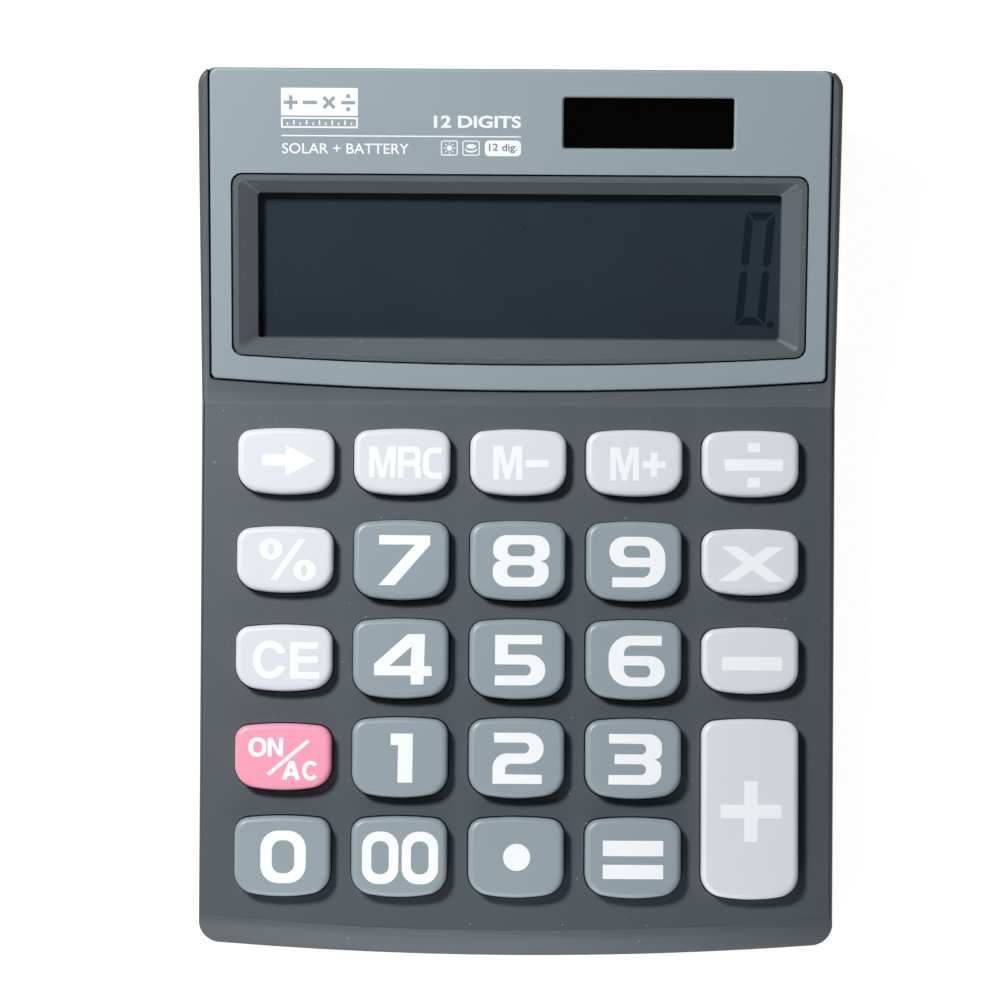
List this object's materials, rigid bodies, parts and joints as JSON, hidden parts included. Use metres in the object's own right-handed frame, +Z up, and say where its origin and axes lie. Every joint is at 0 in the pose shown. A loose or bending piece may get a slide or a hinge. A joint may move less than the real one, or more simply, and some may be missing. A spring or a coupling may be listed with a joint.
{
  "type": "desk calculator",
  "caption": "Wedge-shaped desk calculator with a key deck, a raised sloping display panel with a solar window, bowed key caps that press, and a lift-off battery door.",
  "frame": {"origin": "on the table, under the middle of the casing's outline", "axes": "X to the user's right, Y from the front edge to the display end, Z up"},
  "size_m": [0.1046, 0.1428, 0.0312],
  "materials": {
    "casing_plastic": "fine matte grain, mid grey",
    "plate_plastic": "satin blue-grey with white print",
    "key_white": "satin cool white",
    "key_grey": "satin blue-grey",
    "key_pink": "satin pink",
    "clear_window": "clear gloss",
    "solar_cell": "near-black cell behind glass",
    "polarizer": "semi-gloss dark film",
    "display_glass": "clear glass",
    "reflector": "matt silver film",
    "holder_plastic": "moulded, matt black",
    "flex_film": "amber film with printed tracks",
    "mat_rubber": "soft translucent grey silicone",
    "board_laminate": "green solder mask",
    "chip_resin": "black resin",
    "capacitor_can": "sleeved aluminium can",
    "chip_resistor": "black ceramic chips",
    "cell_steel": "nickel-plated steel can",
    "contact_steel": "nickel-plated spring strip",
    "lead_red": "red insulation",
    "lead_black": "black insulation",
    "screw_steel": "zinc-plated steel",
    "foot_rubber": "matt black rubber"
  },
  "bodies": {
    "casing": {"upper_casing": "casing_plastic", "lower_casing": "casing_plastic", "faceplate": "plate_plastic", "solar_window": "clear_window", "solar_cell": "solar_cell", "display_polarizer": "polarizer", "display_front_glass": "display_glass", "display_rear_glass": "display_glass", "display_reflector": "reflector", "display_holder": "holder_plastic", "display_flex": "flex_film", "rubber_dome_mat": "mat_rubber", "main_board": "board_laminate", "chip_blob": "chip_resin", "capacitor": "capacitor_can", "chip_resistors": "chip_resistor", "button_cell": "cell_steel", "battery_contact_negative": "contact_steel", "battery_contact_positive": "contact_steel", "casing_screws": "screw_steel", "board_screws": "screw_steel", "holder_screws": "screw_steel", "rubber_feet": "foot_rubber", "solar_lead_positive": "lead_red", "solar_lead_negative": "lead_black", "battery_lead_positive": "lead_red", "battery_lead_negative": "lead_black"},
    "key_shift_left": {"key_shift_left": "key_white"},
    "key_memory_recall": {"key_memory_recall": "key_white"},
    "key_memory_minus": {"key_memory_minus": "key_white"},
    "key_memory_plus": {"key_memory_plus": "key_white"},
    "key_divide": {"key_divide": "key_white"},
    "key_percent": {"key_percent": "key_white"},
    "key_7": {"key_7": "key_grey"},
    "key_8": {"key_8": "key_grey"},
    "key_9": {"key_9": "key_grey"},
    "key_multiply": {"key_multiply": "key_white"},
    "key_clear_entry": {"key_clear_entry": "key_white"},
    "key_4": {"key_4": "key_grey"},
    "key_5": {"key_5": "key_grey"},
    "key_6": {"key_6": "key_grey"},
    "key_minus": {"key_minus": "key_white"},
    "key_on_all_clear": {"key_on_all_clear": "key_pink"},
    "key_1": {"key_1": "key_grey"},
    "key_2": {"key_2": "key_grey"},
    "key_3": {"key_3": "key_grey"},
    "key_0": {"key_0": "key_grey"},
    "key_00": {"key_00": "key_grey"},
    "key_decimal_point": {"key_decimal_point": "key_grey"},
    "key_equals": {"key_equals": "key_grey"},
    "key_plus": {"key_plus": "key_white"},
    "battery_door": {"battery_door": "casing_plastic", "battery_door_screw": "screw_steel"}
  },
  "joints": [
    {"name": "press_shift_left", "type": "slide", "parent": "casing", "child": "key_shift_left", "axis": [0, 0.0523, -0.9986], "range_m": [0, 0.0015], "stiffness_N_per_m": 250, "springref_m": -0.0008, "deforming": ["rubber_dome_mat"]},
    {"name": "press_memory_recall", "type": "slide", "parent": "casing", "child": "key_memory_recall", "axis": [0, 0.0523, -0.9986], "range_m": [0, 0.0015], "stiffness_N_per_m": 250, "springref_m": -0.0008, "deforming": ["rubber_dome_mat"]},
    {"name": "press_memory_minus", "type": "slide", "parent": "casing", "child": "key_memory_minus", "axis": [0, 0.0523, -0.9986], "range_m": [0, 0.0015], "stiffness_N_per_m": 250, "springref_m": -0.0008, "deforming": ["rubber_dome_mat"]},
    {"name": "press_memory_plus", "type": "slide", "parent": "casing", "child": "key_memory_plus", "axis": [0, 0.0523, -0.9986], "range_m": [0, 0.0015], "stiffness_N_per_m": 250, "springref_m": -0.0008, "deforming": ["rubber_dome_mat"]},
    {"name": "press_divide", "type": "slide", "parent": "casing", "child": "key_divide", "axis": [0, 0.0523, -0.9986], "range_m": [0, 0.0015], "stiffness_N_per_m": 250, "springref_m": -0.0008, "deforming": ["rubber_dome_mat"]},
    {"name": "press_percent", "type": "slide", "parent": "casing", "child": "key_percent", "axis": [0, 0.0523, -0.9986], "range_m": [0, 0.0015], "stiffness_N_per_m": 250, "springref_m": -0.0008, "deforming": ["rubber_dome_mat"]},
    {"name": "press_7", "type": "slide", "parent": "casing", "child": "key_7", "axis": [0, 0.0523, -0.9986], "range_m": [0, 0.0015], "stiffness_N_per_m": 250, "springref_m": -0.0008, "deforming": ["rubber_dome_mat"]},
    {"name": "press_8", "type": "slide", "parent": "casing", "child": "key_8", "axis": [0, 0.0523, -0.9986], "range_m": [0, 0.0015], "stiffness_N_per_m": 250, "springref_m": -0.0008, "deforming": ["rubber_dome_mat"]},
    {"name": "press_9", "type": "slide", "parent": "casing", "child": "key_9", "axis": [0, 0.0523, -0.9986], "range_m": [0, 0.0015], "stiffness_N_per_m": 250, "springref_m": -0.0008, "deforming": ["rubber_dome_mat"]},
    {"name": "press_multiply", "type": "slide", "parent": "casing", "child": "key_multiply", "axis": [0, 0.0523, -0.9986], "range_m": [0, 0.0015], "stiffness_N_per_m": 250, "springref_m": -0.0008, "deforming": ["rubber_dome_mat"]},
    {"name": "press_clear_entry", "type": "slide", "parent": "casing", "child": "key_clear_entry", "axis": [0, 0.0523, -0.9986], "range_m": [0, 0.0015], "stiffness_N_per_m": 250, "springref_m": -0.0008, "deforming": ["rubber_dome_mat"]},
    {"name": "press_4", "type": "slide", "parent": "casing", "child": "key_4", "axis": [0, 0.0523, -0.9986], "range_m": [0, 0.0015], "stiffness_N_per_m": 250, "springref_m": -0.0008, "deforming": ["rubber_dome_mat"]},
    {"name": "press_5", "type": "slide", "parent": "casing", "child": "key_5", "axis": [0, 0.0523, -0.9986], "range_m": [0, 0.0015], "stiffness_N_per_m": 250, "springref_m": -0.0008, "deforming": ["rubber_dome_mat"]},
    {"name": "press_6", "type": "slide", "parent": "casing", "child": "key_6", "axis": [0, 0.0523, -0.9986], "range_m": [0, 0.0015], "stiffness_N_per_m": 250, "springref_m": -0.0008, "deforming": ["rubber_dome_mat"]},
    {"name": "press_minus", "type": "slide", "parent": "casing", "child": "key_minus", "axis": [0, 0.0523, -0.9986], "range_m": [0, 0.0015], "stiffness_N_per_m": 250, "springref_m": -0.0008, "deforming": ["rubber_dome_mat"]},
    {"name": "press_on_all_clear", "type": "slide", "parent": "casing", "child": "key_on_all_clear", "axis": [0, 0.0523, -0.9986], "range_m": [0, 0.0015], "stiffness_N_per_m": 250, "springref_m": -0.0008, "deforming": ["rubber_dome_mat"]},
    {"name": "press_1", "type": "slide", "parent": "casing", "child": "key_1", "axis": [0, 0.0523, -0.9986], "range_m": [0, 0.0015], "stiffness_N_per_m": 250, "springref_m": -0.0008, "deforming": ["rubber_dome_mat"]},
    {"name": "press_2", "type": "slide", "parent": "casing", "child": "key_2", "axis": [0, 0.0523, -0.9986], "range_m": [0, 0.0015], "stiffness_N_per_m": 250, "springref_m": -0.0008, "deforming": ["rubber_dome_mat"]},
    {"name": "press_3", "type": "slide", "parent": "casing", "child": "key_3", "axis": [0, 0.0523, -0.9986], "range_m": [0, 0.0015], "stiffness_N_per_m": 250, "springref_m": -0.0008, "deforming": ["rubber_dome_mat"]},
    {"name": "press_0", "type": "slide", "parent": "casing", "child": "key_0", "axis": [0, 0.0523, -0.9986], "range_m": [0, 0.0015], "stiffness_N_per_m": 250, "springref_m": -0.0008, "deforming": ["rubber_dome_mat"]},
    {"name": "press_00", "type": "slide", "parent": "casing", "child": "key_00", "axis": [0, 0.0523, -0.9986], "range_m": [0, 0.0015], "stiffness_N_per_m": 250, "springref_m": -0.0008, "deforming": ["rubber_dome_mat"]},
    {"name": "press_decimal_point", "type": "slide", "parent": "casing", "child": "key_decimal_point", "axis": [0, 0.0523, -0.9986], "range_m": [0, 0.0015], "stiffness_N_per_m": 250, "springref_m": -0.0008, "deforming": ["rubber_dome_mat"]},
    {"name": "press_equals", "type": "slide", "parent": "casing", "child": "key_equals", "axis": [0, 0.0523, -0.9986], "range_m": [0, 0.0015], "stiffness_N_per_m": 250, "springref_m": -0.0008, "deforming": ["rubber_dome_mat"]},
    {"name": "press_plus", "type": "slide", "parent": "casing", "child": "key_plus", "axis": [0, 0.0523, -0.9986], "range_m": [0, 0.0015], "stiffness_N_per_m": 250, "springref_m": -0.0008, "deforming": ["rubber_dome_mat"]},
    {"name": "battery_door_lift_off", "type": "slide", "parent": "casing", "child": "battery_door", "axis": [0, 0, -1], "range_m": [0, 0.015]}
  ]
}
